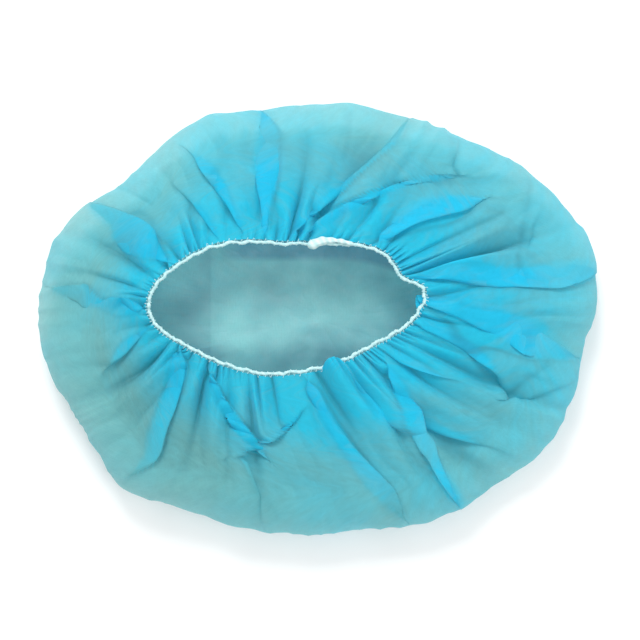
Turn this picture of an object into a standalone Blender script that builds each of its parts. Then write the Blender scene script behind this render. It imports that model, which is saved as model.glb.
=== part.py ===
"""A disposable bouffant cap (hairnet) lying on its crown, with its gathered elastic opening facing up.

One round blank of thin nonwoven cloth makes the whole cap: the crown lies flat on the table, the cloth rolls
up at the rim and comes back inwards over the top, gathered more and more tightly, to the elastic edge.
Metres, +Z up, +X along the cap's length. The origin is on the table, under the middle of the outline.
"""

import math

import bpy
import numpy as np

# Outline of the cap as it lies, and the opening measured along the middle of the elastic.
CAP_LENGTH = 0.337
CAP_WIDTH = 0.259
OPENING_LENGTH = 0.161
OPENING_WIDTH = 0.078
OPENING_OFFSET_X = -0.0200
OPENING_OFFSET_Y = 0.0055

# Heights above the table, to the outside of the cloth.
ROLL_HEIGHT = 0.036
HEM_HEIGHT = 0.039

# Share of the way out from the crown's centre at which the cloth leaves the table.
FLAT_SHARE = 0.84

WALL = 0.001
CLEARANCE = 0.0003
ELASTIC_DIAMETER = 0.0026

# The puckers drawn up by the elastic, and the wider ones that they merge into further out.
PUCKER_COUNT = 33
PUCKER_HEIGHT = 0.0026
BILLOW_COUNT = 11
BILLOW_HEIGHT = 0.0016

# Height of a full fold of the top, depth of a full dent of the roll, and height of its fine creases.
FOLD_HEIGHT = 0.0050
DENT_DEPTH = 0.0030
CREASE_HEIGHT = 0.0010

# The free end of the elastic, sewn back over the start of the loop.
LAP_START_DEG = 63.0
LAP_END_DEG = 80.0
LAP_BOW = 0.0022
LAP_END_INSET = 0.0018

# Swells and dents of a line: the angle of the middle, the half width, and the share it moves outwards.
RIM_SWELLS = [
    {"angle": 24, "width": 20, "out": 0.030},
    {"angle": 115, "width": 10, "out": 0.018},
    {"angle": 138, "width": 9, "out": -0.055},
    {"angle": 160, "width": 14, "out": 0.012},
    {"angle": 200, "width": 9, "out": -0.016},
    {"angle": 229, "width": 7, "out": 0.050},
    {"angle": 295, "width": 9, "out": 0.012},
    {"angle": 350, "width": 11, "out": -0.055},
]
OPENING_SWELLS = [
    {"angle": 16, "width": 8, "out": 0.060},
    {"angle": 54, "width": 14, "out": 0.090},
    {"angle": 90, "width": 8, "out": -0.030},
    {"angle": 117, "width": 17, "out": 0.060},
    {"angle": 222, "width": 22, "out": -0.070},
    {"angle": 262, "width": 9, "out": 0.030},
    {"angle": 318, "width": 30, "out": -0.140},
]
# How high the rolled rim stands at each place, as a share of ROLL_HEIGHT.
ROLL_SWELLS = [
    {"angle": 20, "width": 24, "out": -0.10},
    {"angle": 100, "width": 30, "out": 0.10},
    {"angle": 165, "width": 22, "out": 0.06},
    {"angle": 235, "width": 20, "out": 0.10},
    {"angle": 330, "width": 20, "out": -0.08},
]
# The main folds: where each starts at the hem and where it points at the rim, its half width, how far out
# it runs as a share of the top, and its share of FOLD_HEIGHT, which is negative for a valley between puffs.
FOLDS = [
    {"hem": 352, "rim": 338, "width": 11, "reach": 0.95, "height": 1.00},
    {"hem": 10, "rim": 9, "width": 5, "reach": 1.00, "height": -1.00},
    {"hem": 26, "rim": 22, "width": 7, "reach": 0.80, "height": 0.70},
    {"hem": 46, "rim": 33, "width": 8, "reach": 0.75, "height": 0.90},
    {"hem": 62, "rim": 52, "width": 6, "reach": 0.90, "height": 0.80},
    {"hem": 76, "rim": 68, "width": 6, "reach": 0.95, "height": -1.00},
    {"hem": 88, "rim": 84, "width": 6, "reach": 0.75, "height": 0.70},
    {"hem": 96, "rim": 100, "width": 5, "reach": 0.95, "height": -1.00},
    {"hem": 104, "rim": 108, "width": 6, "reach": 0.90, "height": 0.80},
    {"hem": 117, "rim": 124, "width": 5, "reach": 0.80, "height": -0.80},
    {"hem": 131, "rim": 137, "width": 6, "reach": 1.00, "height": -0.60},
    {"hem": 152, "rim": 150, "width": 8, "reach": 0.80, "height": 0.70},
    {"hem": 176, "rim": 172, "width": 7, "reach": 0.90, "height": 0.60},
    {"hem": 202, "rim": 196, "width": 6, "reach": 0.70, "height": -0.70},
    {"hem": 222, "rim": 224, "width": 6, "reach": 0.85, "height": -1.10},
    {"hem": 236, "rim": 236, "width": 7, "reach": 0.90, "height": 0.90},
    {"hem": 258, "rim": 252, "width": 8, "reach": 0.70, "height": 0.70},
    {"hem": 280, "rim": 272, "width": 6, "reach": 0.80, "height": -0.90},
    {"hem": 294, "rim": 288, "width": 6, "reach": 0.85, "height": 1.20},
    {"hem": 308, "rim": 300, "width": 5, "reach": 0.95, "height": -1.10},
    {"hem": 324, "rim": 315, "width": 7, "reach": 0.80, "height": 0.80},
    {"hem": 337, "rim": 324, "width": 5, "reach": 0.85, "height": -0.90},
]

# Dents where the limp cloth of the rolled rim sinks in: the angle and its half width, the turn round the roll
# (-90 at the table, 0 at the widest line, 90 at the top) and its half width, and its share of DENT_DEPTH.
DENTS = [
    {"angle": 8, "width": 7, "turn": 10, "tall": 34, "depth": 0.73},
    {"angle": 31, "width": 9, "turn": 50, "tall": 30, "depth": 1.00},
    {"angle": 63, "width": 6, "turn": 20, "tall": 38, "depth": 0.80},
    {"angle": 99, "width": 7, "turn": 45, "tall": 34, "depth": 1.07},
    {"angle": 126, "width": 6, "turn": 15, "tall": 40, "depth": 0.73},
    {"angle": 171, "width": 9, "turn": 40, "tall": 30, "depth": 0.87},
    {"angle": 211, "width": 8, "turn": 5, "tall": 36, "depth": 0.80},
    {"angle": 247, "width": 7, "turn": 48, "tall": 32, "depth": 1.07},
    {"angle": 277, "width": 6, "turn": 12, "tall": 40, "depth": 0.73},
    {"angle": 312, "width": 8, "turn": 42, "tall": 34, "depth": 1.13},
    {"angle": 333, "width": 6, "turn": -5, "tall": 30, "depth": 0.67},
]
# Fine creases that run over the roll: their number round the rim and their share of CREASE_HEIGHT.
CREASES = [
    {"count": 19, "phase": 0.4, "height": 1.00},
    {"count": 31, "phase": 2.1, "height": 0.70},
]

# The narrow level band of cloth beside the elastic, as a share of the way from the hem to the rim.
HEM_BAND_SHARE = 0.03
# How much of the folds' height is left at the hem, where the elastic draws them together.
HEM_RELIEF_SHARE = 0.25

# Fineness of the cloth's grid: columns to a pucker, and rows on the crown, the roll and the top.
COLUMNS_PER_PUCKER = 4
CROWN_SHARES = (0.0, 0.45)
ROLL_ROWS = 8
TOP_ROWS = 8


def degrees_between(angles, middle):
    """The signed angle in degrees from middle to each of angles, between -180 and 180."""
    return (np.degrees(angles) - middle + 180.0) % 360.0 - 180.0


def swollen(angles, rows):
    """1 plus every row's swell, each a smooth bump in the angle."""
    share = np.ones_like(angles)
    for row in rows:
        share += row["out"] * np.exp(-((degrees_between(angles, row["angle"]) / row["width"]) ** 2))
    return share


def uneven_oval(angles, length, width, rows):
    """Points of an oval of that length and width with its swells, as an array of x and y."""
    share = swollen(angles, rows)
    return np.stack([length / 2 * share * np.cos(angles), width / 2 * share * np.sin(angles)], axis=-1)


def outline_middle():
    """The middle of the rim's bounding box, before the rim is moved to the origin."""
    rim = uneven_oval(column_angles(), CAP_LENGTH, CAP_WIDTH, RIM_SWELLS)
    return (rim.min(axis=0) + rim.max(axis=0)) / 2


def column_angles():
    """The angle of each column of the cloth's grid."""
    columns = PUCKER_COUNT * COLUMNS_PER_PUCKER
    return np.arange(columns) * 2 * math.pi / columns


def rim_line(angles):
    """The widest line of the cap, centred on the origin."""
    return uneven_oval(angles, CAP_LENGTH, CAP_WIDTH, RIM_SWELLS) - outline_middle()


def elastic_line(angles):
    """The middle of the elastic, seen from above."""
    offset = np.array([OPENING_OFFSET_X, OPENING_OFFSET_Y])
    return uneven_oval(angles, OPENING_LENGTH, OPENING_WIDTH, OPENING_SWELLS) + offset - outline_middle()


def outward(angles):
    """The direction square to the elastic, away from the opening, seen from above."""
    step = 1e-4
    along = elastic_line(angles + step) - elastic_line(angles - step)
    square = np.stack([along[..., 1], -along[..., 0]], axis=-1)
    return square / np.linalg.norm(square, axis=-1, keepdims=True)


def hem_line(angles):
    """The cloth's inner edge, which meets the outside of the elastic with a small clearance."""
    return elastic_line(angles) + outward(angles) * (ELASTIC_DIAMETER / 2 + CLEARANCE)


def smooth_step(x):
    """0 below 0, 1 above 1, and an even curve between."""
    x = np.clip(x, 0.0, 1.0)
    return x * x * (3.0 - 2.0 * x)


def top_relief(angles, share):
    """Height of the folds and puckers at that share of the way from the hem (0) to the rim (1)."""
    growth = HEM_RELIEF_SHARE + (1.0 - HEM_RELIEF_SHARE) * smooth_step((share - HEM_BAND_SHARE) / 0.14)
    puckers = PUCKER_HEIGHT * np.sin(PUCKER_COUNT * angles) * growth * (1.0 - smooth_step(share / 0.55))
    billows = BILLOW_HEIGHT * np.sin(BILLOW_COUNT * angles + 0.8) * growth * smooth_step((1.0 - share) / 0.4)
    relief = puckers + billows
    for fold in FOLDS:
        middle = fold["hem"] + (fold["rim"] - fold["hem"]) * share
        across = degrees_between(angles, middle) / fold["width"]
        fading = 1.0 - smooth_step((share / fold["reach"] - 0.55) / 0.45)
        relief += fold["height"] * FOLD_HEIGHT * growth * fading * np.exp(-across**2)
    return relief


def hem_height(angles):
    """Height of the cloth's outside at the hem."""
    return HEM_HEIGHT + top_relief(angles, 0.0)


def crown_rows(angles):
    """Rows that lie on the table, from the crown's centre outwards."""
    rim = rim_line(angles)
    return [np.column_stack([rim * FLAT_SHARE * share, np.zeros(len(angles))]) for share in CROWN_SHARES]


def roll_relief(angles, turn):
    """How far the roll stands out at that turn: its creases, less its dents, and nothing at the table."""
    relief = np.zeros_like(angles)
    for crease in CREASES:
        relief += crease["height"] * CREASE_HEIGHT * np.sin(crease["count"] * angles + crease["phase"] + 0.6 * turn)
    for dent in DENTS:
        across = degrees_between(angles, dent["angle"]) / dent["width"]
        along = (math.degrees(turn) - dent["turn"]) / dent["tall"]
        relief -= dent["depth"] * DENT_DEPTH * np.exp(-(across**2)) * math.exp(-(along**2))
    return relief * smooth_step((turn + math.pi / 2) / 0.8)


def roll_rows(angles):
    """Rows of the rolled rim, half an ellipse from the table round to the top, with its dents and creases."""
    rim = rim_line(angles)
    height = ROLL_HEIGHT * swollen(angles, ROLL_SWELLS)
    away = rim / np.linalg.norm(rim, axis=1, keepdims=True)
    rows = []
    for turn in np.linspace(-math.pi / 2, math.pi / 2, ROLL_ROWS):
        reach = FLAT_SHARE + (1.0 - FLAT_SHARE) * math.cos(turn)
        relief = roll_relief(angles, turn)
        place = rim * reach + away * (relief * math.cos(turn))[:, None]
        rows.append(np.column_stack([place, height * (1.0 + math.sin(turn)) / 2 + relief * math.sin(turn)]))
    return rows


def top_rows(angles):
    """Rows from the top of the roll inwards to the hem, with the folds and puckers on them."""
    start = rim_line(angles) * FLAT_SHARE
    hem = hem_line(angles)
    roll = ROLL_HEIGHT * swollen(angles, ROLL_SWELLS)
    rows = []
    for share in [*np.linspace(1.0, HEM_BAND_SHARE, TOP_ROWS)[1:], 0.0]:
        place = hem + (start - hem) * share
        height = roll + (HEM_HEIGHT - roll) * (1.0 - share) ** 1.5 + top_relief(angles, share)
        height += roll_relief(angles, math.pi / 2) * smooth_step((share - 0.5) / 0.5)
        rows.append(np.column_stack([place, height]))
    return rows


def new_material(name, colour, roughness):
    material = bpy.data.materials.new(name)
    material.use_nodes = True
    shader = material.node_tree.nodes["Principled BSDF"]
    shader.inputs["Base Color"].default_value = (*colour, 1.0)
    shader.inputs["Roughness"].default_value = roughness
    shader.inputs["Metallic"].default_value = 0.0
    return material


def link(obj, material, collection):
    obj.data.materials.append(material)
    collection.objects.link(obj)
    return obj


def make_cap_body(collection):
    """The whole cloth as one sheet, its outside modelled and its wall added inwards."""
    angles = column_angles()
    columns = len(angles)
    rows = crown_rows(angles)[1:] + roll_rows(angles) + top_rows(angles)
    points = [(0.0, 0.0, 0.0)] + [tuple(point) for row in rows for point in row.tolist()]
    faces = [(0, 1 + (k + 1) % columns, 1 + k) for k in range(columns)]
    for r in range(len(rows) - 1):
        for k in range(columns):
            here, there = 1 + r * columns, 1 + (r + 1) * columns
            after = (k + 1) % columns
            faces.append((here + k, here + after, there + after, there + k))
    mesh = bpy.data.meshes.new("cap_body")
    mesh.from_pydata(points, [], faces)
    mesh.shade_smooth()
    cap = bpy.data.objects.new("cap_body", mesh)
    wall = cap.modifiers.new("wall", "SOLIDIFY")
    wall.thickness = WALL
    wall.offset = -1.0
    wall.use_even_offset = True
    return link(cap, new_material("blue_nonwoven", (0.10, 0.62, 0.80), 0.7), collection)


def make_tube(name, points, cyclic, collection, material):
    """A round cord along the points, closed into a loop or with flat ends."""
    curve = bpy.data.curves.new(name, "CURVE")
    curve.dimensions = "3D"
    curve.twist_mode = "Z_UP"
    curve.bevel_depth = ELASTIC_DIAMETER / 2
    curve.bevel_resolution = 2
    curve.use_fill_caps = not cyclic
    spline = curve.splines.new("POLY")
    spline.points.add(len(points) - 1)
    for point, place in zip(spline.points, points):
        point.co = (*place, 1.0)
    spline.use_cyclic_u = cyclic
    return link(bpy.data.objects.new(name, curve), material, collection)


def make_elastic_edge(collection, material):
    """The covered elastic round the opening, level with the middle of the cloth's wall."""
    angles = column_angles()
    height = hem_height(angles) - WALL / 2
    points = np.column_stack([elastic_line(angles), height])
    return make_tube("elastic_edge", points.tolist(), True, collection, material)


def make_elastic_lap(collection, material):
    """The elastic's free end, lying on the loop with a small clearance and bowed a little outwards."""
    along = np.linspace(0.0, 1.0, 13)
    angles = np.radians(LAP_START_DEG + (LAP_END_DEG - LAP_START_DEG) * along)
    sideways = LAP_BOW * np.sin(math.pi * along) - LAP_END_INSET * smooth_step((along - 0.5) / 0.5)
    place = elastic_line(angles) + outward(angles) * sideways[:, None]
    top_of_hem = np.maximum(hem_height(angles), hem_height(angles) - WALL / 2 + ELASTIC_DIAMETER / 2)
    height = top_of_hem + ELASTIC_DIAMETER / 2 + CLEARANCE
    return make_tube("elastic_lap", np.column_stack([place, height]).tolist(), False, collection, material)


def main():
    for obj in list(bpy.data.objects):
        bpy.data.objects.remove(obj)
    collection = bpy.data.collections.new("bouffant_cap")
    bpy.context.scene.collection.children.link(collection)
    make_cap_body(collection)
    white = new_material("white_elastic", (0.88, 0.92, 0.90), 0.6)
    make_elastic_edge(collection, white)
    make_elastic_lap(collection, white)


main()
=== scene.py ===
"""The looks of a disposable bouffant cap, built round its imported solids.

The cap is one round blank of thin nonwoven cloth. It lies on its crown, rolls up at the rim and comes back
inwards over the top, gathered to a covered elastic that overlock stitches hold. Metres, +Z up.
"""

import math

import bpy
import numpy as np
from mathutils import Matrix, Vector


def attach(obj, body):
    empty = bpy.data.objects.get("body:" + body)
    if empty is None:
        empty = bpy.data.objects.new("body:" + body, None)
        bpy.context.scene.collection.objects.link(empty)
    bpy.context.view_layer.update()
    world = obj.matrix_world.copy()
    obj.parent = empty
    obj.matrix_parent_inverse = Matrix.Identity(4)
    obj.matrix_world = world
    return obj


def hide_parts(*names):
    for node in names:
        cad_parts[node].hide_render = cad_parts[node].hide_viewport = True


bl_info = {
    "name": "Bouffant cap",
    "version": (1, 0, 0),
    "blender": (4, 5, 0),
    "location": "View3D > Sidebar > Cap",
    "description": "Dresses the packed solids of a disposable bouffant cap",
    "category": "Object",
}

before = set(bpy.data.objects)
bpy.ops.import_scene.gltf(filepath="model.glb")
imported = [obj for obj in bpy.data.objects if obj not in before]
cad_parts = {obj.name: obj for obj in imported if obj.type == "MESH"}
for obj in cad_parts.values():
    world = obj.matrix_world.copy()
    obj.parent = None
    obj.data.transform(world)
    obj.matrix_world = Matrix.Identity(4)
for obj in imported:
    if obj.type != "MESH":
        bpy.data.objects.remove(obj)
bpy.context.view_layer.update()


def table(names, rows):
    """A table whose columns are named once, as one dict for each row."""
    return [dict(zip(names.split(), row)) for row in rows]


FULL_TURN = 2 * math.pi
UP = np.array([0.0, 0.0, 1.0])
# The round blank that the cap is cut from.
BLANK_DIAMETER = 0.533

# Where the cap's main lines are. These repeat the values of the part's source.
FLAT_SHARE = 0.84
ROLL_HEIGHT = 0.036
HEM_HEIGHT = 0.039
DENT_DEPTH = 0.0030
ELASTIC_RADIUS = 0.0013
HEM_GAP = 0.0003
OUTLINE_POINTS = 132
RIM_SWELLS = table("angle width out", [
    ( 24, 20,  0.030),
    (115, 10,  0.018),
    (138,  9, -0.055),
    (160, 14,  0.012),
    (200,  9, -0.016),
    (229,  7,  0.050),
    (295,  9,  0.012),
    (350, 11, -0.055),
])
OPENING_SWELLS = table("angle width out", [
    ( 16,  8,  0.060),
    ( 54, 14,  0.090),
    ( 90,  8, -0.030),
    (117, 17,  0.060),
    (222, 22, -0.070),
    (262,  9,  0.030),
    (318, 30, -0.140),
])
# Smaller kinks of the elastic, which the solid leaves out.
OPENING_KINKS = table("angle width out", [
    ( 4,  5,  0.025),
    (27, 10, -0.050),
    (92, 26, -0.025),
])
ROLL_SWELLS = table("angle width out", [
    ( 20, 24, -0.10),
    (100, 30,  0.10),
    (165, 22,  0.06),
    (235, 20,  0.10),
    (330, 20, -0.08),
])
# Dents in the roll: the angle and its half width, the turn round the roll and its half width, and the depth as
# a share of DENT_DEPTH.
DENTS = table("angle width turn tall depth", [
    (  8, 7, 10, 34, 0.73),
    ( 31, 9, 50, 30, 1.00),
    ( 63, 6, 20, 38, 0.80),
    ( 99, 7, 45, 34, 1.07),
    (126, 6, 15, 40, 0.73),
    (171, 9, 40, 30, 0.87),
    (211, 8,  5, 36, 0.80),
    (247, 7, 48, 32, 1.07),
    (277, 6, 12, 40, 0.73),
    (312, 8, 42, 34, 1.13),
    (333, 6, -5, 30, 0.67),
])

# The cloth's folds. A fold's line has an angle at the hem, half-way to the rim and at the rim, and runs from
# start to end, in shares of that way; past 1 it goes over the roll. round is how far its crest stands from its
# line before it is pushed over, and lap how far it is pushed, both in mm: positive where the anticlockwise side
# lies on top. A lap that is longer than the round lies in three layers. lift is the height of a ridge in mm,
# negative for a valley.
FOLDS = table("hem mid rim start end round lap lift", [
    (   4,   -4,  -10, 0.00, 1.25, 4.0,  17.0,  0.6),
    (  23, 15.5, 12.5, 0.00, 1.35, 3.5,   9.5,  0.0),
    (  54,   50,   40, 0.02, 1.00, 3.5,  12.5,  0.5),
    (  84,   67, 50.5, 0.06, 1.05, 3.0,  -8.5,  0.0),
    (89.5, 78.5,   72, 0.05, 1.35, 2.6,   4.5, -1.4),
    (  99,  101,  102, 0.00, 1.35, 3.2,   9.5,  0.5),
    ( 107,  114,  121, 0.04, 1.15, 2.8,  -6.5,  0.0),
    ( 117,  124,  131, 0.00, 1.00, 2.4,  -4.0, -1.2),
    ( 144,  148,  148, 0.02, 1.40, 3.6,  10.5,  0.0),
    ( 181,  177,  173, 0.00, 1.25, 3.4,   8.5,  0.4),
    ( 195,  197,  201, 0.00, 0.95, 2.6,  -5.0, -0.8),
    ( 217,  226,  228, 0.02, 1.20, 3.8, -13.5,  0.0),
    ( 233,  252,  271, 0.05, 0.80, 2.5,  -6.5,  0.4),
    ( 288,  261,  234, 0.24, 0.80, 2.5,  -5.5,  0.4),
    ( 243,  249,  256, 0.62, 1.35, 2.2,   2.6, -1.0),
    ( 278,  281,  286, 0.03, 1.30, 3.6, -10.5,  0.0),
    ( 296,  298,  306, 0.08, 0.85, 2.4,   3.4, -0.4),
    ( 319,  306,  300, 0.12, 1.38, 2.6,   7.0,  0.0),
    ( 298,  306,  315, 0.50, 1.10, 2.2,   4.2,  0.3),
    ( 317,  326,  335, 0.08, 0.62, 2.2,   4.2,  0.0),
    ( 346,  341,  327, 0.00, 0.95, 2.4,   5.2, -0.6),
    ( 291,  313,  335, 0.78, 1.35, 2.4,   3.0, -0.8),
    ( -19,    5,   29, 0.82, 1.35, 2.2,   1.0, -0.9),
    (  34,   45,   56, 0.86, 1.40, 2.2,   1.0, -0.9),
    (  92,   70,   48, 0.68, 1.35, 2.2,   1.0, -0.9),
])
# How high a lapped fold stands, as a share of its lap, and how much of that it loses from FLATTEN_FROM to
# FLATTEN_TO on its way out.
LAP_RISE = 0.22
LAP_FLATTENING = 0.5
FLATTEN_FROM, FLATTEN_TO = 0.75, 1.15

# The gathers that the elastic draws up: each count of puffs round the ring, where they start, stand highest
# and die out on the way to the rim, and their height in mm. The counts double, so that puffs join outwards.
GATHERS = table("count start peak end height", [
    (112, -0.30, 0.00, 0.17, 2.1),
    ( 56, -0.12, 0.10, 0.66, 4.8),
    ( 28,  0.02, 0.34, 1.35, 6.6),
    ( 14,  0.18, 0.80, 1.75, 5.4),
])
# Where a puff's wave, which goes from about 0.1 to 1, is level with the cloth, and how far below that its
# valleys lie.
PUFF_LEVEL = 0.64
PUFF_VALLEY = 0.54

# Uneven waves, by the seed of their random draws, their fewest and most round the ring, how fast they drift on
# the way out, and their size: in radians for the gathers' lines, and in metres for the crushed roll, which also
# starts, stands highest and ends on the way out, and for the elastic seen from above.
GATHER_WARPS = table("seed low high drift size", [
    (3, 2,  9, 1.0, 0.050),
    (5, 8, 21, 1.0, 0.018),
])
CRUSHES = table("seed low high drift size start peak end", [
    (41,  4, 15, 3.2, 0.0024, 0.45, 1.10, 1.75),
    (43, 12, 40, 5.0, 0.0012, 0.20, 1.10, 1.90),
])
ELASTIC_WAVES = table("seed low high drift size", [
    (61, 14,  48, 1.0, 0.00035),
    (64, 50, 110, 1.0, 0.00018),
])
# Puckers down the roll, and soft creases on the crown by their shortest and longest wave, all in metres.
PUCKERS = table("seed count height", [
    (81, 38, 0.0034),
    (84, 67, 0.0020),
])
CROWN_CREASES = table("seed shortest longest height", [
    (71, 0.030, 0.090, 0.0016),
    (72, 0.012, 0.030, 0.0007),
])

# Where the cloth reaches over the elastic: its angle and half width, how square its sides are, where it is
# fullest and ends on the way out, and how far it moves inwards and up, in metres.
OVERHANGS = table("angle width square peak end inward up", [
    (291.0, 5.6, 4, 0.050, 0.24, 0.0095,  0.0050),
    (  1.0, 7.0, 2, 0.035, 0.15, 0.0100, -0.0030),
])

# Faint creases that the packet pressed into the cloth, as straight lines seen from above, in metres.
PACKET_CREASES = table("start_x start_y end_x end_y depth", [
    ( 0.1270,  0.0796,  0.1205,  0.0496,  0.0011),
    ( 0.1205,  0.0496,  0.1175,  0.0300,  0.0009),
    ( 0.0690,  0.0780,  0.1262,  0.0812,  0.0009),
    ( 0.0787,  0.1060,  0.0787,  0.0800,  0.0009),
    ( 0.1105, -0.0453,  0.1329, -0.0306,  0.0010),
    ( 0.0180,  0.1203,  0.0162,  0.0938,  0.0007),
    (-0.1440,  0.0213, -0.1040,  0.0156, -0.0008),
    (-0.1120,  0.0740, -0.0880,  0.0900,  0.0007),
    (-0.0350, -0.0980, -0.0250, -0.1180,  0.0007),
])
CREASE_WIDTH = 0.0019

# Patches where the cloth looks deeper or paler in colour, by angle and way out with their half widths. Some are
# painted light and shade: they make the left side paler and greyer and the right side deeper, as the light falls.
TONES = table("angle width out tall tone", [
    (  5, 42, 0.45, 0.55,  0.22),
    ( 60, 30, 0.45, 0.40,  0.15),
    (185, 42, 0.95, 0.45, -0.22),
    (226, 26, 1.00, 0.45, -0.25),
    (296,  7, 0.60, 0.22, -0.14),
    ( 73,  4, 0.50, 0.30, -0.30),
    ( 55,  4, 0.50, 0.30, -0.25),
    ( 34,  4, 0.35, 0.25, -0.20),
    (127,  6, 0.60, 0.30, -0.15),
    (278,  7, 0.40, 0.25,  0.20),
    ( 30, 30, 1.15, 0.25,  0.12),
    (205, 45, 0.45, 0.35, -0.12),
    (332, 32, 0.95, 0.40,  0.13),
    ( 34,  9, 0.62, 0.25, -0.20),
    (118, 13, 0.75, 0.35,  0.22),
    ( 52,  5, 0.45, 0.25,  0.25),
    (298,  7, 0.60, 0.20,  0.12),
])
# How deep the colour is: on open cloth, how much more at the hem and how far out that reaches, and how much less
# on the crown. Then how much more in a lap of three layers, at least and in its blotches, and how uneven it is.
OPEN_TONE, HEM_TONE, HEM_REACH, CROWN_TONE = 0.20, 0.92, 0.58, 0.20
LAYER_TONE, LAYER_BLOTCHES, CLOUD_TONE = 0.16, 0.26, 0.10
# How much painted shade lies on the crown inside the opening, and how much more at its front and its right.
# FRONT_EDGE and RIGHT_EDGE are where those begin, and FRONT_FADE and RIGHT_FADE how softly.
CROWN_SHADE, FRONT_SHADE, RIGHT_SHADE = 0.28, 0.52, 0.06
FRONT_EDGE, FRONT_FADE = -0.010, 0.013
RIGHT_EDGE, RIGHT_FADE = 0.030, 0.03
# How much painted shade lies in the valleys and the packet's creases, the latter for each metre of depth, how
# much lies over the left side, and how much a patch of painted light takes off.
VALLEY_SHADE, CREASE_SHADE = 0.36, 190.0
SHADED_LEFT_SIDE = {"angle": 212.0, "width": 62.0, "shade": 0.14}
PAINTED_LIGHT_PATCH = {"angle": 297.0, "width": 7.0, "out": 0.58, "tall": 0.20, "shade": 0.30}

# The way along the cloth from the hem: 1 where the roll starts, TABLE_OUT where it meets the table and
# CROWN_OUT at the crown's middle.
TABLE_OUT = 1.5
CROWN_OUT = 2.5
COLUMNS = 960
CROWN_ROWS = 18
ROLL_ROWS = 26
TOP_ROWS = 58
# The cloth's lowest points are eased to stay LOWEST above the table, from EASE_HEIGHT above that down.
LOWEST = 0.0004
EASE_HEIGHT = 0.0008

# The elastic and its thread, in metres, with the points of their meshes. The elastic lies YARN_DROP below the
# hem, whose level is read at HEM_SAMPLES points and evened out over HEM_BLUR of them on both sides.
YARN_RADIUS = 0.00090
YARN_POINTS, YARN_SIDES = 1500, 12
YARN_DROP = 0.0009
HEM_SAMPLES, HEM_BLUR, HEM_BLUR_WIDTH = 720, 20, 9.0
THREAD_RADIUS = 0.00017
THREAD_TURNS, THREAD_POINTS, THREAD_SIDES = 150, 16, 5
THREAD_HALF_WIDTH, THREAD_HALF_HEIGHT, THREAD_REACH = 0.00112, 0.00109, 0.0011
# The elastic's free end: where it starts and how far it goes round, in degrees, how far it lies above the loop,
# how far it bows outwards and then in over the loop, and its half width at its start and how much it swells.
END_START, END_SWEEP, END_LIFT = 62.0, 18.5, 0.0017
END_BOW, END_TURN_IN = 0.0019, 0.0014
END_RADIUS, END_SWELL = 0.0013, 0.0015
END_POINTS, END_SIDES = 90, 14

# The colours that painted shade on the cloth and the painted shadow under the far rim mix towards.
PAINTED_SHADE_COLOUR = (0.02, 0.13, 0.16)
UNDER_RIM_SHADOW_COLOUR = (0.001, 0.10, 0.20)
YARN_GAP_COLOUR = (0.33, 0.62, 0.64)
THREAD_SHADE_COLOUR = (0.40, 0.72, 0.76)
FLOOR_DARK, FLOOR_LIGHT = (0.90, 0.90, 0.90), (0.93, 0.93, 0.93)

FLOOR_HALF = 4
LIGHTS = table("name place power size", [
    ("key_light", (-0.22, 0.85, 0.95), 11.0, 0.50),
    ("fill_light", (0.90, -0.50, 1.10), 5.0, 1.00),
])
SKY_STRENGTH = 0.86
PHOTO_PIXELS = 640
METRES_PER_PIXEL = 0.0006
CAMERA_LENS = 85.0
CAMERA_ELEVATION = 86.0
CAMERA_TARGET = (0.0003, -0.0012, 0.020)


def sizes():
    """The settings that the panel shows."""
    return bpy.context.scene.bouffant_cap


def degrees_between(angles, middle):
    """The signed angle in degrees from middle to each of angles, between -180 and 180."""
    return (np.degrees(angles) - middle + 180.0) % 360.0 - 180.0


def unit(vectors):
    """The vectors, each divided by its length."""
    return vectors / np.maximum(np.linalg.norm(vectors, axis=-1, keepdims=True), 1e-9)


def bell(x):
    """1 at 0, falling off evenly on both sides."""
    return np.exp(-(x**2))


def smooth_step(x):
    """0 below 0, 1 above 1, and an even curve between."""
    x = np.clip(x, 0.0, 1.0)
    return x * x * (3.0 - 2.0 * x)


def window(x, start, peak, end):
    """Rises evenly from 0 at start to 1 at peak and falls to 0 at end."""
    return smooth_step((x - start) / (peak - start)) * (1.0 - smooth_step((x - peak) / (end - peak)))


def ring_angles(count):
    """That many even angles round the ring, in radians."""
    return np.arange(count) * FULL_TURN / count


def ripple(angles, out, seed, low, high):
    """Smooth uneven noise of about -1 to 1 that closes round the ring: eight waves of random count and phase."""
    draw = np.random.default_rng(seed)
    total = np.zeros(np.broadcast(angles, out).shape)
    for _ in range(8):
        count = draw.integers(low, high + 1)
        total = total + np.sin(count * angles + draw.uniform(0, 6.28) + draw.uniform(-2.5, 2.5) * out)
    return total / 3.0


def row_ripple(angles, out, row):
    """A ripple whose seed, counts and drift are those of a table's row."""
    return ripple(angles, row["drift"] * out, row["seed"], row["low"], row["high"])


def plan_creases(x, y, seed, shortest, longest):
    """Soft creases on a flat stretch: the absolute value of seven waves of random direction and length."""
    draw = np.random.default_rng(seed)
    total = np.zeros(np.broadcast(x, y).shape)
    for _ in range(7):
        number = FULL_TURN / draw.uniform(shortest, longest)
        way = draw.uniform(0, FULL_TURN)
        total = total + np.sin(number * (x * math.cos(way) + y * math.sin(way)) + draw.uniform(0, 6.28))
    return np.abs(total) / 2.2


def swollen(angles, rows):
    """1 plus every row's swell, each a smooth bump in the angle."""
    share = np.ones_like(angles)
    for row in rows:
        share = share + row["out"] * bell(degrees_between(angles, row["angle"]) / row["width"])
    return share


def uneven_oval(angles, length, width, rows):
    """Points of an oval of that length and width with its swells, as an array of x and y."""
    share = swollen(angles, rows)
    return np.stack([length / 2 * share * np.cos(angles), width / 2 * share * np.sin(angles)], axis=-1)


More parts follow.
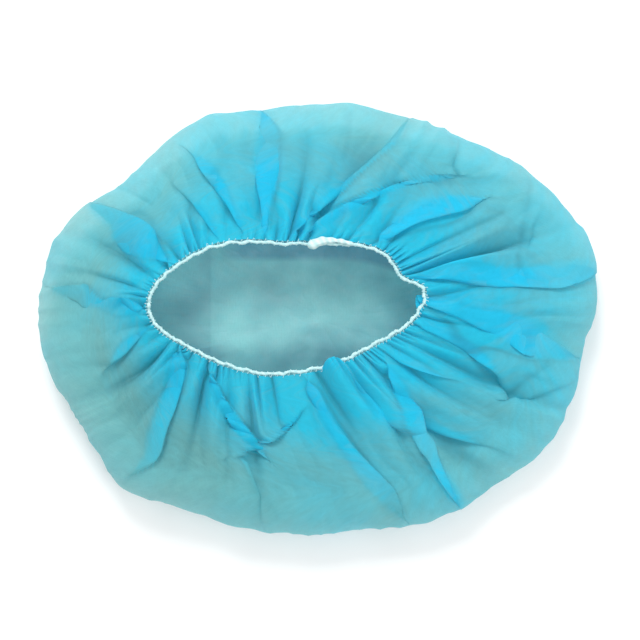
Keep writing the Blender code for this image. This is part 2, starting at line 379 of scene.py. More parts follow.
def outline_middle():
    """The middle of the rim's box, before the rim is moved to the origin."""
    rim = uneven_oval(ring_angles(OUTLINE_POINTS), sizes().cap_length, sizes().cap_width, RIM_SWELLS)
    return (rim.min(axis=0) + rim.max(axis=0)) / 2


def rim_line(angles):
    """The widest line of the cap, centred on the origin."""
    return uneven_oval(angles, sizes().cap_length, sizes().cap_width, RIM_SWELLS) - outline_middle()


def elastic_line(angles):
    """The middle of the elastic, seen from above."""
    offset = np.array([sizes().opening_x, sizes().opening_y]) - outline_middle()
    bends = OPENING_SWELLS + OPENING_KINKS
    return uneven_oval(angles, sizes().opening_length, sizes().opening_width, bends) + offset


def outward(angles):
    """The direction square to the elastic, away from the opening, seen from above."""
    along = elastic_line(angles + 1e-4) - elastic_line(angles - 1e-4)
    return unit(np.stack([along[..., 1], -along[..., 0]], axis=-1))


def hem_line(angles):
    """The cloth's inner edge, just outside the elastic."""
    return elastic_line(angles) + outward(angles) * (ELASTIC_RADIUS + HEM_GAP)


def roll_relief(angles, turn):
    """How far the roll's dents go in at that turn in radians, negative, and nothing at the table."""
    relief = np.zeros(np.broadcast(angles, turn).shape)
    for dent in DENTS:
        across = degrees_between(angles, dent["angle"]) / dent["width"]
        along = (np.degrees(turn) - dent["turn"]) / dent["tall"]
        relief = relief - dent["depth"] * DENT_DEPTH * np.exp(-(across**2) - along**2)
    return relief * smooth_step((turn + math.pi / 2) / 0.8)


def base_surface(angles, out):
    """The cap without folds: the crown on the table, half an ellipse up round the rim, and the top to the hem.

    angles is a row and out a column. Up to 1, a point goes straight from the hem to the roll and falls from the
    hem's height to the roll's. From 1 to TABLE_OUT it turns round the roll. Past that it goes straight to the
    crown's middle. Returns an array of rows, columns and x, y, z.
    """
    rim, hem = rim_line(angles), hem_line(angles)
    roll = ROLL_HEIGHT * swollen(angles, ROLL_SWELLS)
    share = np.clip(out, 0.0, 1.0)
    turn = math.pi / 2 - np.clip((out - 1.0) / (TABLE_OUT - 1.0), 0.0, 1.0) * math.pi
    crown = np.clip(CROWN_OUT - out, 0.0, 1.0)
    reach = FLAT_SHARE + (1.0 - FLAT_SHARE) * np.cos(turn)
    relief = roll_relief(angles, turn)
    on_top = hem + (rim * FLAT_SHARE - hem) * share[..., None]
    on_roll = rim * reach[..., None] + unit(rim) * (relief * np.cos(turn))[..., None]
    on_table = rim * FLAT_SHARE * crown[..., None]
    top_side, roll_side = out <= 1.0, out <= TABLE_OUT
    plan = np.where(top_side[..., None], on_top, np.where(roll_side[..., None], on_roll, on_table))
    top_z = roll + (HEM_HEIGHT - roll) * (1.0 - share) ** 1.5 + relief * smooth_step((share - 0.5) / 0.5)
    roll_z = roll * (1.0 + np.sin(turn)) / 2 + relief * np.sin(turn)
    height = np.where(top_side, top_z, np.where(roll_side, roll_z, 0.0))
    return np.concatenate([plan, height[..., None]], axis=-1)


def ring_length(angles, out):
    """How many metres along the ring one radian is, on the cap without folds."""
    step = base_surface(angles + 1e-4, out) - base_surface(angles - 1e-4, out)
    return np.linalg.norm(step, axis=-1) / 2e-4


def gather_relief(angles, out):
    """The gathers' height and their valleys' shade.

    A gather is a row of round puffs with sharp valleys between them, the absolute value of a sine with its
    corners eased, on a wandering line and of uneven height.
    """
    warp = sum(row["size"] * row_ripple(angles, out, row) for row in GATHER_WARPS)
    height, valley = np.zeros((2, *np.broadcast(angles, out).shape))
    for number, row in enumerate(GATHERS):
        puff = np.sqrt(np.sin(row["count"] / 2 * (angles + warp)) ** 2 + 0.012) - PUFF_LEVEL
        uneven = np.clip(0.76 + 0.85 * ripple(angles, 0.6 * out, 20 + number, 3, 17), 0.06, 2.3)
        reach = window(out, row["start"], row["peak"], row["end"])
        height += row["height"] / 1000 * puff * uneven * reach
        valley += bell((puff + PUFF_VALLEY) / 0.14) * uneven * reach
    return height, valley


def fold_across(fold, angles, out, metres):
    """How far each point lies from a fold's line, in metres: the line is a parabola through its three angles."""
    way = np.clip(out, 0.0, 1.3)
    line = fold["hem"] * (1 - way) * (1 - 2 * way)
    line = line + 4 * fold["mid"] * way * (1 - way) + fold["rim"] * way * (2 * way - 1)
    return np.radians((degrees_between(angles, 0.0) - line + 180.0) % 360.0 - 180.0) * metres


def lapped_fold(fold, angles, out, metres):
    """One fold's height, how far it leans over along the ring, its layers and its shade.

    A lapped fold is an uneven wave, high on one side of its line and low on the other, that is pushed over
    sideways until it covers itself. Every point is pushed in proportion to its height, so the layers never
    cross. A lift is a round ridge or valley. The layers are 1 where a lap lies in three, with crisp sides. The
    shade lies beside the lap's edges and in a valley.
    """
    across = fold_across(fold, angles, out, metres)
    start = smooth_step((out - fold["start"] + 0.02) / 0.14)
    ending = 1.0 - smooth_step((out - fold["end"] + 0.38) / 0.45)
    strength = start * ending * np.clip(0.35 + 1.3 * out, 0.0, 1.0)
    strength = strength * (1.0 + 0.30 * ripple(angles, 2.6 * out, 90, 5, 14))
    bend = fold["round"] / 1000 * np.clip(0.5 + out, 0.0, 1.15)
    side = math.copysign(1.0, fold["lap"])
    lap = abs(fold["lap"]) / 1000 * strength
    wave = across / bend * np.exp((1.0 - (across / bend) ** 2) / 2)
    flattening = smooth_step((out - FLATTEN_FROM) / (FLATTEN_TO - FLATTEN_FROM))
    height = lap * LAP_RISE * (1.0 - LAP_FLATTENING * flattening) * wave * side
    height += fold["lift"] / 1000 * strength * bell(across / bend)
    moved = (across - lap * wave) * side
    half = lap - 0.93 * bend
    on_crest = smooth_step((half + moved) / 0.0014 + 0.5)
    layers = on_crest * smooth_step((half - moved) / 0.0050 + 0.5) * np.clip(half / 0.002, 0.0, 1.0)
    beside = bell((moved + np.maximum(half, 0.0) + 0.0009) / 0.0013)
    beyond = bell((moved - np.maximum(half, 0.0)) / 0.0009)
    valley = (1.1 * beside + 0.45 * beyond) * np.clip(lap / 0.005, 0.0, 1.0)
    if fold["lift"] < 0:
        valley += strength * 0.8 * bell(across / bend / 0.8)
    return height, -lap * wave, layers, valley


def fold_relief(angles, out):
    """The folds' and gathers' height, how far each leans over along the ring, their layers and their shade."""
    height, valley = gather_relief(angles, out)
    lean = height * 0.8 * ripple(angles, out, 11, 3, 9)
    layers = np.zeros(height.shape)
    metres = ring_length(angles, out)
    for fold in FOLDS:
        for total, part in zip((height, lean, layers, valley), lapped_fold(fold, angles, out, metres)):
            total += part
    return height, lean, np.clip(layers, 0.0, 1.5), np.clip(valley, 0.0, 1.5)


def roll_puckers(angles, out):
    """Uneven puckers down the roll and on the crown's edge: sharp ridges, many of them dying out."""
    height = np.zeros(np.broadcast(angles, out).shape)
    for row in PUCKERS:
        warp = 0.13 * ripple(angles, 1.3 * out, row["seed"], 3, 13)
        puff = np.abs(np.sin(row["count"] / 2 * (angles + warp)))
        uneven = np.clip(0.45 + 0.95 * ripple(angles, 0.8 * out, row["seed"] + 1, 4, 19), 0.0, 1.8)
        height += row["height"] * (1.0 - puff) * uneven
    return height * (0.30 * window(out, 0.70, 1.15, 1.55) + window(out, 1.25, 1.52, 2.10))


def packet_creases(points, out):
    """The packet's creases in metres down: a round groove along each line, by the distance from it in plan."""
    plan = points[..., :2]
    total = np.zeros(plan.shape[:-1])
    for crease in PACKET_CREASES:
        start = np.array([crease["start_x"], crease["start_y"]])
        way = np.array([crease["end_x"], crease["end_y"]]) - start
        share = ((plan - start) @ way) / (way @ way)
        away = np.linalg.norm(plan - start - np.clip(share, 0.0, 1.0)[..., None] * way, axis=-1)
        total += crease["depth"] * bell(away / CREASE_WIDTH)
    return total * (1.0 - smooth_step((out - 1.15) / 0.10))


def cloth_height(angles, out, base, folds, pressed):
    """Height over the cap without folds: the folds, always up where the cloth lies, and all that is finer."""
    lying = lying_share(out)
    on_cloth = cloth_share(out)
    crushed = 0.0
    for row in CRUSHES:
        reach = window(out, row["start"], row["peak"], row["end"])
        crushed = crushed + row["size"] * np.abs(row_ripple(angles, out, row)) * reach
    creases = 0.0
    for row in CROWN_CREASES:
        waves = plan_creases(base[..., 0], base[..., 1], row["seed"], row["shortest"], row["longest"])
        creases = creases + row["height"] * waves
    height = folds * (1.0 - lying) + np.abs(folds) * lying
    height = (height + crushed) * on_cloth * calm_share(out) + roll_puckers(angles, out) - 0.0008 * on_cloth
    return height + creases * smooth_step((out - 1.45) / 0.2) - pressed


def lying_share(out):
    """How far the cloth has come down to lie on the table: 0 on the roll and 1 where they meet."""
    return smooth_step((out - 1.30) / 0.20)


def cloth_share(out):
    """1 on the top and the roll, falling to 0 on the crown."""
    return 1.0 - smooth_step((out - TABLE_OUT) / 0.50)


def calm_share(out):
    """How much of the folds is left, least at the widest line, where the cloth is drawn smooth."""
    return 1.0 - 0.60 * window(out, 0.95, 1.22, 1.48)


def reach_over(points, angles, out):
    """Moves the cloth at each overhang inwards over the elastic, and up or down."""
    for row in OVERHANGS:
        across = np.exp(-((degrees_between(angles, row["angle"]) / row["width"]) ** row["square"]))
        share = window(out, -0.002, row["peak"], row["end"]) * across
        points[..., :2] -= outward(angles) * (row["inward"] * share)[..., None]
        points[..., 2] += row["up"] * share


def cloth_tone(angles, out, layers):
    """How tightly the cloth is gathered, from 0 to 1: most at the hem, and more where it lies in layers."""
    tone = OPEN_TONE + HEM_TONE * bell(out / HEM_REACH) - CROWN_TONE * smooth_step((out - TABLE_OUT) / 0.1)
    for patch in TONES:
        across = degrees_between(angles, patch["angle"]) / patch["width"]
        tone = tone + patch["tone"] * np.exp(-(across**2) - ((out - patch["out"]) / patch["tall"]) ** 2)
    blotches = 0.5 + 0.5 * ripple(angles, 7.0 * out, 95, 6, 22)
    clouds = ripple(angles, 5.0 * out, 97, 5, 16)
    tone = tone + ((LAYER_TONE + LAYER_BLOTCHES * blotches) * layers + CLOUD_TONE * clouds) * cloth_share(out)
    return np.clip(tone, 0.0, 1.0)


def cloth_shade(angles, out, points, valley, pressed):
    """Painted shade, from 0 to 1: on the crown, in creases and valleys and over the left side, less in a painted
    light patch.
    """
    front = smooth_step((FRONT_EDGE - points[..., 1]) / FRONT_FADE)
    right = smooth_step((points[..., 0] - RIGHT_EDGE) / RIGHT_FADE)
    crown = smooth_step((out - 1.45) / 0.1)
    # Painted shade over the left side of the cloth.
    shaded_left = bell(degrees_between(angles, SHADED_LEFT_SIDE["angle"]) / SHADED_LEFT_SIDE["width"])
    # A patch of painted light, which takes painted shade off.
    across = degrees_between(angles, PAINTED_LIGHT_PATCH["angle"]) / PAINTED_LIGHT_PATCH["width"]
    light = np.exp(-(across**2) - ((out - PAINTED_LIGHT_PATCH["out"]) / PAINTED_LIGHT_PATCH["tall"]) ** 2)
    shade = crown * (CROWN_SHADE + FRONT_SHADE * front + RIGHT_SHADE * right)
    shade = shade + CREASE_SHADE * np.maximum(pressed, 0.0)
    shade = shade + SHADED_LEFT_SIDE["shade"] * shaded_left * cloth_share(out)
    shade = shade + VALLEY_SHADE * valley * cloth_share(out) * (0.35 + 0.65 * smooth_step(1.3 - out))
    return np.clip(shade - PAINTED_LIGHT_PATCH["shade"] * light, 0.0, 1.0)


def cap_rows():
    """The way from the hem of each row of the cloth's grid, closer together near the hem."""
    top = np.linspace(0.0, 1.0, TOP_ROWS) ** 1.25
    roll = np.linspace(1.0, TABLE_OUT, ROLL_ROWS + 1)[1:]
    crown = CROWN_OUT - np.linspace(1.0, 0.0, CROWN_ROWS + 1)[1:-1]
    return np.concatenate([top, roll, crown])[:, None]


def flat_angle(points, angles):
    """Where each point lies round the flat blank: the share of its row's length that comes before it."""
    steps = np.linalg.norm(np.roll(points, -1, axis=1) - points, axis=-1)
    before = np.cumsum(steps, axis=1) - steps
    return angles[0, 0] + FULL_TURN * before / steps.sum(axis=1, keepdims=True)


def cloth_grid():
    """Every point of the cloth, as rows from the hem to the crown's middle, with its place and its tones.

    Height goes along the cloth's outward side, turning to straight up where it lies on the table, and lean
    along the ring. Returns the points, the way out, the angle on the flat blank, the tone and the shade.
    """
    angles = ring_angles(COLUMNS)[None, :]
    out = cap_rows()
    base = base_surface(angles, out)
    along = unit(np.roll(base, -1, axis=1) - np.roll(base, 1, axis=1))
    upward = unit(np.cross(unit(np.gradient(base, axis=0)), along))
    lying = lying_share(out)[..., None]
    upward = unit(upward * (1.0 - lying) + UP * lying)
    folds, lean, layers, valley = fold_relief(angles, out)
    pressed = packet_creases(base, out)
    height = cloth_height(angles, out, base, folds, pressed)
    lean = lean * cloth_share(out) * (0.5 + 0.5 * calm_share(out))
    points = base + upward * height[..., None] + along * lean[..., None]
    reach_over(points, angles, out)
    over = points[..., 2] - LOWEST - EASE_HEIGHT
    eased = LOWEST + EASE_HEIGHT * np.exp(np.minimum(over, 0.0) / EASE_HEIGHT)
    points[..., 2] = np.where(over < 0.0, eased, points[..., 2])
    tone = cloth_tone(angles, out, layers)
    shade = cloth_shade(angles, out, points, valley, pressed)
    return points, np.broadcast_to(out, height.shape), flat_angle(points, angles), tone, shade


def smooth_mesh(name, points, faces):
    """A smooth mesh of those points and faces."""
    mesh = bpy.data.meshes.new(name)
    mesh.from_pydata(points.tolist(), [], faces)
    mesh.shade_smooth()
    return mesh


def sheet_mesh(name, points, pole):
    """A mesh of a grid that closes round its columns, with a point that closes its last row."""
    rows, columns = points.shape[:2]
    index = np.arange(rows * columns).reshape(rows, columns)
    after = np.roll(index, -1, axis=1)
    quads = np.stack([index[:-1], index[1:], after[1:], after[:-1]], axis=-1).reshape(-1, 4)
    fan = np.stack([index[-1], np.full(columns, rows * columns), after[-1]], axis=-1)
    return smooth_mesh(name, np.vstack([points.reshape(-1, 3), pole]), quads.tolist() + fan.tolist())


def add_uv(mesh, places):
    """A UV map that gives each vertex its place on the flat cloth, or along and around a tube."""
    layer = mesh.uv_layers.new(name="cloth")
    loops = np.empty(len(mesh.loops), dtype=np.int32)
    mesh.loops.foreach_get("vertex_index", loops)
    layer.data.foreach_set("uv", places[loops].astype(np.float32).ravel())


def add_value(mesh, name, values):
    """A named number at each vertex, for the material to read."""
    mesh.attributes.new(name, "FLOAT", "POINT").data.foreach_set("value", values.astype(np.float32).ravel())


def tube_grid(path, radius, sides, closed):
    """The grid of a round tube along a path: rows go round the tube, columns along it.

    path is an array of points, radius a number or one for each point. The tube's two cross directions are the
    level one square to the path and the one square to both.
    """
    steps = np.roll(path, -1, axis=0) - np.roll(path, 1, axis=0) if closed else np.gradient(path, axis=0)
    ahead = unit(steps)
    level = unit(np.cross(ahead, UP))
    upright = np.cross(level, ahead)
    turn = ring_angles(sides)[:, None, None]
    ring = np.cos(turn) * level + np.sin(turn) * upright
    return path + ring * np.broadcast_to(radius, (len(path),))[None, :, None]


def tube_mesh(name, path, radius, sides, closed):
    """A tube along a path, closed into a loop or with flat ends, and its UV along it in metres and around it."""
    grid = tube_grid(path, radius, sides, closed)
    count = len(path)
    index = np.arange(sides * count).reshape(sides, count)
    right = np.roll(index, -1, axis=1)
    quads = np.stack([index, right, np.roll(right, -1, axis=0), np.roll(index, -1, axis=0)], axis=-1)
    if closed:
        faces = quads.reshape(-1, 4).tolist()
    else:
        faces = quads[:, :-1].reshape(-1, 4).tolist()
        faces += [index[:, 0].tolist(), index[::-1, -1].tolist()]
    mesh = smooth_mesh(name, grid.reshape(-1, 3), faces)
    steps = np.linalg.norm(np.diff(grid.mean(axis=0), axis=0), axis=1)
    length = np.concatenate([[0.0], np.cumsum(steps)])
    places = np.broadcast_arrays(length[None, :], np.linspace(0.0, 1.0, sides)[:, None])
    add_uv(mesh, np.stack(places, axis=-1).reshape(-1, 2))
    return mesh


def hem_level(angles):
    """Height of the elastic: that of the cloth's hem, evened out over a few gathers."""
    fine = ring_angles(HEM_SAMPLES)
    relief = fold_relief(fine[None, :], np.zeros((1, 1)))[0][0]
    kernel = bell(np.arange(-HEM_BLUR, HEM_BLUR + 1) / HEM_BLUR_WIDTH)
    wrapped = np.concatenate([relief[-HEM_BLUR:], relief, relief[:HEM_BLUR]])
    smooth = np.convolve(wrapped, kernel / kernel.sum(), mode="valid")
    return HEM_HEIGHT - YARN_DROP + np.interp(angles, fine, smooth, period=FULL_TURN)


def elastic_path(angles):
    """The elastic's middle line in space: round the opening at the hem's level, kinked here and there."""
    wave = sum(row["size"] * row_ripple(angles, 0.0, row) for row in ELASTIC_WAVES)
    plan = elastic_line(angles) + outward(angles) * wave[:, None]
    return np.column_stack([plan, hem_level(angles) + 0.00025 * ripple(angles, 0.0, 62, 14, 60)])


def stitch_path():
    """The overlock thread: round and round the elastic, each turn reaching out on the cloth and back."""
    along = np.linspace(0.0, 1.0, THREAD_TURNS * THREAD_POINTS, endpoint=False)
    angles = FULL_TURN * along
    turn = FULL_TURN * THREAD_TURNS * along
    away = np.column_stack([outward(angles), np.zeros(len(angles))])
    uneven = 1.0 + 0.22 * ripple(angles, 0.0, 66, 40, 140)
    reach = THREAD_HALF_WIDTH * np.cos(turn) + THREAD_REACH * np.maximum(np.cos(turn), 0.0) * uneven
    rise = THREAD_HALF_HEIGHT * np.sin(turn)
    return elastic_path(angles) + away * reach[:, None] + UP * rise[:, None]


def end_path(along):
    """The elastic's free end: along the top of the loop, bowed outwards, its end turned in over the loop."""
    angles = np.radians(END_START + END_SWEEP * along)
    bow = END_BOW * np.sin(math.pi * np.clip(along * 1.15, 0, 1))
    sideways = bow - END_TURN_IN * smooth_step((along - 0.62) / 0.38)
    plan = elastic_line(angles) + outward(angles) * sideways[:, None]
    return np.column_stack([plan, hem_level(angles) + END_LIFT + 0.0004 * np.sin(9.0 * along)])


def end_radius(along):
    """Half width of the free end: slim where it starts, swelling to a blunt end, both ends rounded off."""
    body = END_RADIUS + END_SWELL * smooth_step((along - 0.30) / 0.5) + 0.00024 * np.sin(31.0 * along)
    return body * np.sqrt(np.clip(1.0 - (np.abs(2.0 * along - 1.0)) ** 14, 0.0004, 1.0))


class Value:
    """A shader socket that can be added to, multiplied and so on, each of which adds a Math node."""

    def __init__(self, shader, socket):
        self.shader = shader
        self.socket = socket

    def math(self, operation, *others):
        """The result of a Math node on this value and the others."""
        return self.shader.node("ShaderNodeMath", {"operation": operation}, [self, *others])

    def __add__(self, other):
        return self.math("ADD", other)

    __radd__ = __add__

    def __mul__(self, other):
        return self.math("MULTIPLY", other)

    __rmul__ = __mul__

    def __sub__(self, other):
        return self.math("SUBTRACT", other)

    def __rsub__(self, other):
        return self.shader.node("ShaderNodeMath", {"operation": "SUBTRACT"}, [other, self])

    def clamped(self):
        """The value, kept between 0 and 1."""
        return self.shader.node("ShaderNodeClamp", {}, {"Value": self})


class Shader:
    """A material's node tree, with one method that makes any node."""

    def __init__(self, name):
        self.material = bpy.data.materials.new(name)
        self.material.use_nodes = True
        self.tree = self.material.node_tree
        self.surface = self.tree.nodes["Principled BSDF"]
        self.output = self.tree.nodes["Material Output"]

    def put(self, socket, value):
        """Links a socket to a Value, or sets it to a number, colour or vector."""
        if isinstance(value, Value):
            self.tree.links.new(value.socket, socket)
        else:
            socket.default_value = value

    def node(self, kind, settings, values=(), output=0):
        """Makes a node, with its settings first and then its sockets, by place in a list or by name in a dict."""
        made = self.tree.nodes.new(kind)
        for key, value in settings.items():
            setattr(made, key, value)
        pairs = values.items() if isinstance(values, dict) else enumerate(values)
        for key, value in pairs:
            self.put(made.inputs[key], value)
        return Value(self, made.outputs[output])

    def flat_place(self):
        """The place on the flat cloth, or along and around a tube."""
        return self.node("ShaderNodeUVMap", {"uv_map": "cloth"})

    def object_place(self):
        """The place in space, which stays with the piece."""
        return self.node("ShaderNodeTexCoord", {}, (), 3)

    def attribute(self, name):
        """A number that the mesh gives at each vertex."""
        return self.node("ShaderNodeAttribute", {"attribute_name": name}, (), 2)

    def part(self, vector, number):
        """One of a vector's three numbers."""
        return self.node("ShaderNodeSeparateXYZ", {}, [vector], number)

    def vector(self, operation, values, output=0):
        """The result of a Vector Math node."""
        return self.node("ShaderNodeVectorMath", {"operation": operation}, values, output)

    def noise(self, place, scale, detail, roughness=0.5):
        """Cloudy noise round 0.5, with that many waves to a unit of the place."""
        values = {"Vector": place, "Scale": scale, "Detail": detail, "Roughness": roughness}
        return self.node("ShaderNodeTexNoise", {}, values)

    def bump(self, strength, height):
        """The surface's normal with a low relief on it."""
        values = {"Strength": strength, "Distance": 0.0002, "Height": height}
        return self.node("ShaderNodeBump", {}, values)

    def mix(self, factor, first, second):
        """A colour between two colours."""
        return self.node("ShaderNodeMix", {"data_type": "RGBA"}, {0: factor, 6: first, 7: second}, 2)

    def finish(self, **values):
        """Sets or links the surface's own sockets, and gives the material."""
        for key, value in values.items():
            self.put(self.surface.inputs[key.replace("_", " ")], value)
        return self.material


def rgba(colour):
    """A colour with full alpha."""
    return (*colour, 1.0)


def nonwoven_material():
    """Thin spunbond cloth: matt and see-through, deeper in colour where it is gathered, cloudy and dotted."""
    look = sizes()
    shader = Shader("nonwoven_cloth_look")
    gathered, shaded = shader.attribute("gathered"), shader.attribute("shaded")

    # Patterns on the flat blank: streaks that run out from its middle, clouds, fibres and the bonding's dots.
    uv = shader.flat_place()
    metres = shader.vector("SCALE", {0: uv, 3: BLANK_DIAMETER})
    centred = shader.vector("SUBTRACT", [uv, (0.5, 0.5, 0.0)])
    distance = shader.vector("LENGTH", [centred], 1)
    spokes = shader.vector("SCALE", {0: shader.vector("NORMALIZE", [centred]), 3: 26.0})
    steps = shader.node("ShaderNodeCombineXYZ", {}, [0.0, 0.0, distance * 16.0])
    streaks = shader.noise(shader.vector("ADD", [spokes, steps]), 1.0, 2.0, 0.6)
    clouds = shader.noise(metres, 160.0, 3.0, 0.6)
    patches = shader.noise(metres, 34.0, 2.0)
    stretched = {"Vector": metres, "Rotation": (0.0, 0.0, 0.6), "Scale": (2600.0, 260.0, 1.0)}
    fibres = shader.noise(shader.node("ShaderNodeMapping", {}, stretched), 1.0, 2.0, 0.65)
    spots = {"Vector": metres, "Scale": 760.0, "Randomness": 0.12}
    dots = (1.0 - shader.node("ShaderNodeTexVoronoi", {"feature": "F1"}, spots) * 3.2).clamped()
    uneven = (clouds - 0.5) * 0.25 + (patches - 0.5) * 0.45 + (streaks - 0.5) * (gathered * 1.1)
    tone = (gathered + uneven).clamped()

    # Painted light and shade on the crown inside the opening, by place in metres.
    place = shader.object_place()
    across, up = shader.part(place, 0), shader.part(place, 1)
    crown = ((0.206 - distance) * 90.0).clamped()
    # Painted shade on the crown left of a crisp edge.
    left_edge_shade = ((-0.0665 - across) * 700.0 + 0.5).clamped()
    bow = (across - 0.010).math("MAXIMUM", 0.0)
    # Painted shadow on the crown just inside the far rim, following its curve.
    far_edge = ((up - 0.0378 + bow * bow * 5.5) * 260.0 + 0.5).clamped()
    under_rim_shadow = far_edge * ((across + 0.062) * 70.0).clamped()
    # A band of painted light just right of that edge, which takes painted shade off.
    painted_light_band = (1.0 - (across + 0.052).math("ABSOLUTE") * 70.0).clamped()
    # Painted shade in soft blotches on the crown, darker in some places and lighter in others.
    painted_shade_blotches = (shader.noise(place, 30.0, 2.0) - 0.5) * 1.5
    # Painted shade: the mesh's shaded values, and on the crown its left edge, the far rim and blotches, less the
    # painted light band.
    painted_shade = (shaded + crown * (left_edge_shade * 0.22 + under_rim_shadow * 0.22 - painted_light_band * 0.17 + painted_shade_blotches)).clamped()

    # The cloth's own colour, with painted shade and the painted shadow under the far rim mixed over it.
    colour = shader.mix(tone, rgba(look.open_colour), rgba(look.gathered_colour))
    colour = shader.mix(painted_shade, colour, rgba(PAINTED_SHADE_COLOUR))
    colour = shader.mix(crown * under_rim_shadow * 0.66, colour, rgba(UNDER_RIM_SHADOW_COLOUR))
    weave = (clouds - 0.5) * 0.30 + (fibres - 0.5) * 0.24 - dots * 0.06
    # Where painted shade lies on the crown, the cloth is also less see-through, so it looks darker.
    opacity = (0.54 + gathered * 0.30 + crown * shaded * 0.16 + weave).clamped()
    relief = shader.bump(0.35, fibres * 0.5 - dots * 0.8 + clouds * 0.5 + streaks * (gathered * 6.0))
    shader.finish(
        Base_Color=colour, Roughness=0.72, Alpha=opacity, Normal=relief, Sheen_Weight=0.15, Sheen_Roughness=0.5
    )
    lit = {"Color": rgba(look.lit_through_colour), "Normal": relief}
    through = shader.node("ShaderNodeBsdfTranslucent", {}, lit)
    surface = Value(shader, shader.surface.outputs[0])
    both = shader.node("ShaderNodeMixShader", {}, [gathered * 0.26 + 0.16, surface, through])
    shader.put(shader.output.inputs["Surface"], both)
    return shader.material


def yarn_material(name, yarn_colour):
    """White covered elastic: fine yarn wound round it, with darker gaps between the turns."""
    shader = Shader(name)
    uv = shader.flat_place()
    turns = (shader.part(uv, 0) * 1750.0 + shader.part(uv, 1) * FULL_TURN).math("SINE")
    fuzz = shader.noise(uv, 900.0, 3.0)
    stretches = shader.noise(uv, 45.0, 2.0)
    cover = (turns * 0.22 + 0.35 + (fuzz - 0.5) * 0.5 + (stretches - 0.45) * 1.6).clamped()
    colour = shader.mix(cover, rgba(YARN_GAP_COLOUR), rgba(yarn_colour))
    relief = shader.bump(0.5, turns * 0.5 + fuzz * 0.5)
    return shader.finish(Base_Color=colour, Roughness=0.62, Normal=relief, Sheen_Weight=0.2)


def thread_material():
    """Pale twisted sewing thread, uneven in tone."""
    shader = Shader("overlock_thread_look")
    fuzz = shader.noise(shader.flat_place(), 700.0, 2.0)
    colour = shader.mix(fuzz, rgba(THREAD_SHADE_COLOUR), rgba(sizes().elastic_colour))
    return shader.finish(Base_Color=colour, Roughness=0.6)


def floor_material():
    """A plain pale floor with a barely uneven finish."""
    shader = Shader("pale_floor_look")
    grain = shader.noise(shader.object_place(), 30.0, 2.0)
    return shader.finish(Base_Color=shader.mix(grain, rgba(FLOOR_DARK), rgba(FLOOR_LIGHT)), Roughness=0.8)


def show(name, mesh, material):
    """Links a mesh as a piece of the scene with its material."""
    mesh.materials.append(material)
    piece = bpy.data.objects.new(name, mesh)
    bpy.context.scene.collection.objects.link(piece)
    return piece


class CapSettings(bpy.types.PropertyGroup):
    """The sizes and colours that a user would change"""

    cap_length: bpy.props.FloatProperty(
        name="Cap length", description="Outline of the cap, left to right", default=0.337, unit="LENGTH"
    )
    cap_width: bpy.props.FloatProperty(
        name="Cap width", description="Outline of the cap, front to back", default=0.259, unit="LENGTH"
    )
    opening_length: bpy.props.FloatProperty(
        name="Opening length", description="Length of the elastic's loop", default=0.161, unit="LENGTH"
    )
    opening_width: bpy.props.FloatProperty(
        name="Opening width", description="Width of the elastic's loop", default=0.078, unit="LENGTH"
    )
    opening_x: bpy.props.FloatProperty(
        name="Opening offset X", description="Opening's middle from the outline's", default=-0.0200, unit="LENGTH"
    )
    opening_y: bpy.props.FloatProperty(
        name="Opening offset Y", description="Opening's middle from the outline's", default=0.0055, unit="LENGTH"
    )
    open_colour: bpy.props.FloatVectorProperty(
        name="Open cloth", description="Colour of the cloth where it is spread out",
        subtype="COLOR", size=3, default=(0.210, 0.53, 0.50),
    )
    gathered_colour: bpy.props.FloatVectorProperty(
        name="Gathered cloth", description="Colour of the cloth where it is gathered",
        subtype="COLOR", size=3, default=(0.005, 0.64, 0.90),
    )
    lit_through_colour: bpy.props.FloatVectorProperty(
        name="Light through cloth", description="Colour of light that comes through the cloth",
        subtype="COLOR", size=3, default=(0.03, 0.70, 0.84),
    )
    elastic_colour: bpy.props.FloatVectorProperty(
        name="Elastic", description="Colour of the yarn round the elastic",
        subtype="COLOR", size=3, default=(0.63, 0.82, 0.82),
    )
    end_colour: bpy.props.FloatVectorProperty(
        name="Elastic's end", description="Colour of the yarn round the elastic's free end",
        subtype="COLOR", size=3, default=(0.80, 0.90, 0.88),
    )


class CAP_OT_cloth(bpy.types.Operator):
    """Makes the cap's one sheet of nonwoven cloth, with its folds and gathers"""

    bl_idname = "bouffant_cap.cloth"
    bl_label = "Make cloth"

    def execute(self, context):
        points, out, turned, tone, shade = cloth_grid()
        mesh = sheet_mesh("cap_cloth", points, points[-1].mean(axis=0))
        radius = 0.5 * (1.0 - out / CROWN_OUT)
        flat = np.stack([0.5 + radius * np.cos(turned), 0.5 + radius * np.sin(turned)], axis=-1).reshape(-1, 2)
        add_uv(mesh, np.vstack([flat, [0.5, 0.5]]))
        add_value(mesh, "gathered", np.append(tone.ravel(), 0.0))
        add_value(mesh, "shaded", np.append(shade.ravel(), 0.05))
        cloth = show("cap_cloth", mesh, nonwoven_material())
        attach(cloth, "root")
        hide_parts("cap_body")
        return {"FINISHED"}


class CAP_OT_elastic(bpy.types.Operator):
    """Makes the covered elastic round the opening"""

    bl_idname = "bouffant_cap.elastic"
    bl_label = "Make elastic"

    def execute(self, context):
        angles = ring_angles(YARN_POINTS)
        radius = YARN_RADIUS * (1.0 + 0.15 * ripple(angles, 0.0, 63, 30, 90))
        mesh = tube_mesh("elastic", elastic_path(angles), radius, YARN_SIDES, True)
        elastic = show("elastic", mesh, yarn_material("elastic_look", sizes().elastic_colour))
        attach(elastic, "root")
        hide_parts("elastic_edge")
        return {"FINISHED"}


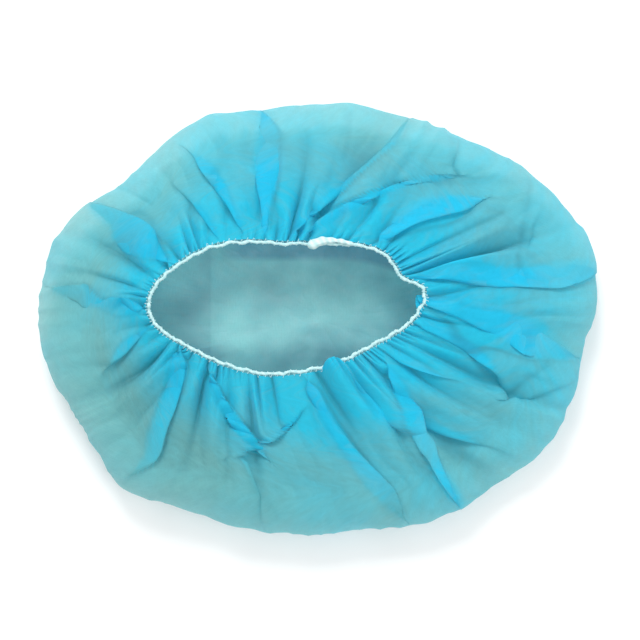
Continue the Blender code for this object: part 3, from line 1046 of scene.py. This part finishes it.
class CAP_OT_lap(bpy.types.Operator):
    """Makes the free end of the elastic, sewn back over the loop"""

    bl_idname = "bouffant_cap.lap"
    bl_label = "Make elastic lap"

    def execute(self, context):
        along = np.linspace(0.0, 1.0, END_POINTS)
        mesh = tube_mesh("elastic_end", end_path(along), end_radius(along), END_SIDES, False)
        lap = show("elastic_end", mesh, yarn_material("elastic_end_look", sizes().end_colour))
        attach(lap, "root")
        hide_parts("elastic_lap")
        return {"FINISHED"}


class CAP_OT_stitches(bpy.types.Operator):
    """Makes the overlock thread that holds the cloth to the elastic"""

    bl_idname = "bouffant_cap.stitches"
    bl_label = "Make stitches"

    def execute(self, context):
        mesh = tube_mesh("overlock_thread", stitch_path(), THREAD_RADIUS, THREAD_SIDES, True)
        thread = show("overlock_thread", mesh, thread_material())
        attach(thread, "root")
        return {"FINISHED"}


class CAP_OT_stage(bpy.types.Operator):
    """Makes the floor, the lights and the camera"""

    bl_idname = "bouffant_cap.stage"
    bl_label = "Make stage"

    def execute(self, context):
        corners = np.array([(-1, -1, 0), (1, -1, 0), (1, 1, 0), (-1, 1, 0)]) * FLOOR_HALF
        floor = bpy.data.meshes.new("floor")
        floor.from_pydata(corners.tolist(), [], [(0, 1, 2, 3)])
        show("floor", floor, floor_material())
        for row in LIGHTS:
            self.add_light(context, **row)
        world = bpy.data.worlds.new("studio")
        context.scene.world = world
        world.use_nodes = True
        world.node_tree.nodes["Background"].inputs["Color"].default_value = (1.0, 1.0, 1.0, 1.0)
        world.node_tree.nodes["Background"].inputs["Strength"].default_value = SKY_STRENGTH
        context.scene.view_settings.view_transform = "Standard"
        self.add_camera(context)
        return {"FINISHED"}

    def add_light(self, context, name, place, power, size):
        """A soft square light that shines on the origin."""
        light = bpy.data.lights.new(name, "AREA")
        light.energy = power
        light.size = size
        lamp = bpy.data.objects.new(name, light)
        lamp.location = place
        lamp.rotation_euler = (-Vector(place)).to_track_quat("-Z", "Y").to_euler()
        context.scene.collection.objects.link(lamp)

    def add_camera(self, context):
        """Nearly straight down, at the distance where a pixel is METRES_PER_PIXEL at the height of the target."""
        camera = bpy.data.cameras.new("photo_camera")
        camera.lens = CAMERA_LENS
        seen = bpy.data.objects.new("photo_camera", camera)
        lift = math.radians(CAMERA_ELEVATION)
        back = Vector((0.0, -math.cos(lift), math.sin(lift)))
        distance = PHOTO_PIXELS * METRES_PER_PIXEL * camera.lens / camera.sensor_width
        seen.location = Vector(CAMERA_TARGET) + back * distance
        seen.rotation_euler = (-back).to_track_quat("-Z", "Y").to_euler()
        context.scene.collection.objects.link(seen)
        context.scene.camera = seen


class CAP_PT_panel(bpy.types.Panel):
    """Lists the cap's settings and operators"""

    bl_label = "Bouffant cap"
    bl_idname = "CAP_PT_panel"
    bl_space_type = "VIEW_3D"
    bl_region_type = "UI"
    bl_category = "Cap"

    def draw(self, context):
        for name in CapSettings.__annotations__:
            self.layout.prop(context.scene.bouffant_cap, name)
        for operator in OPERATORS:
            self.layout.operator(operator.bl_idname)


OPERATORS = (CAP_OT_stage, CAP_OT_cloth, CAP_OT_elastic, CAP_OT_lap, CAP_OT_stitches)
CLASSES = (CapSettings, *OPERATORS, CAP_PT_panel)


def register():
    """Registers the classes and the scene's settings."""
    for item in CLASSES:
        bpy.utils.register_class(item)
    bpy.types.Scene.bouffant_cap = bpy.props.PointerProperty(type=CapSettings)


def unregister():
    """Takes away the scene's settings and the classes."""
    del bpy.types.Scene.bouffant_cap
    for item in reversed(CLASSES):
        bpy.utils.unregister_class(item)


def main():
    register()
    bpy.ops.bouffant_cap.stage()
    bpy.ops.bouffant_cap.cloth()
    bpy.ops.bouffant_cap.elastic()
    bpy.ops.bouffant_cap.lap()
    bpy.ops.bouffant_cap.stitches()


if __name__ == "__main__":
    main()
